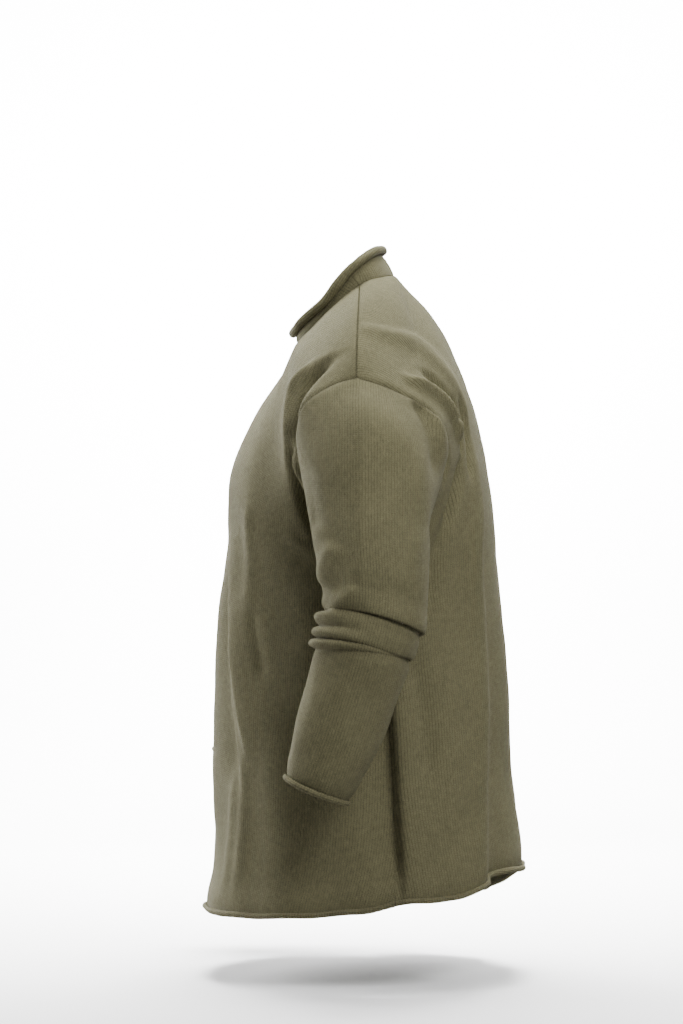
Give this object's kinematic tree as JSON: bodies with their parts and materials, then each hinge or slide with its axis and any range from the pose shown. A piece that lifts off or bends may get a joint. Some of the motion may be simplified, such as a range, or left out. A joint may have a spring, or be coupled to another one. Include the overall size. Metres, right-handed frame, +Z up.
{
  "type": "turtleneck sweater",
  "caption": "Knitted roll-neck pullover in its worn shape: drop shoulders, long sleeves pushed up at the elbow, self-rolled neck, cuffs and hem, open and hollow.",
  "frame": {"origin": "middle of the neck base, level with the two points where the shoulder seams meet the collar", "axes": "+Z up along the wearer, -Y is the way the wearer faces, +X is the wearer's left"},
  "size_m": [0.6524, 0.3657, 0.7457],
  "materials": {
    "knit_front": "matte plain knit, olive khaki, slightly hairy",
    "knit_back": "matte plain knit, olive khaki, slightly hairy",
    "knit_sleeve_left": "matte plain knit, olive khaki, slightly hairy",
    "knit_sleeve_right": "matte plain knit, olive khaki, slightly hairy",
    "knit_collar": "matte plain knit, olive khaki, slightly hairy"
  },
  "bodies": {
    "root": {"front": "knit_front", "back": "knit_back", "sleeve_left": "knit_sleeve_left", "sleeve_right": "knit_sleeve_right", "collar": "knit_collar"}
  },
  "joints": []
}
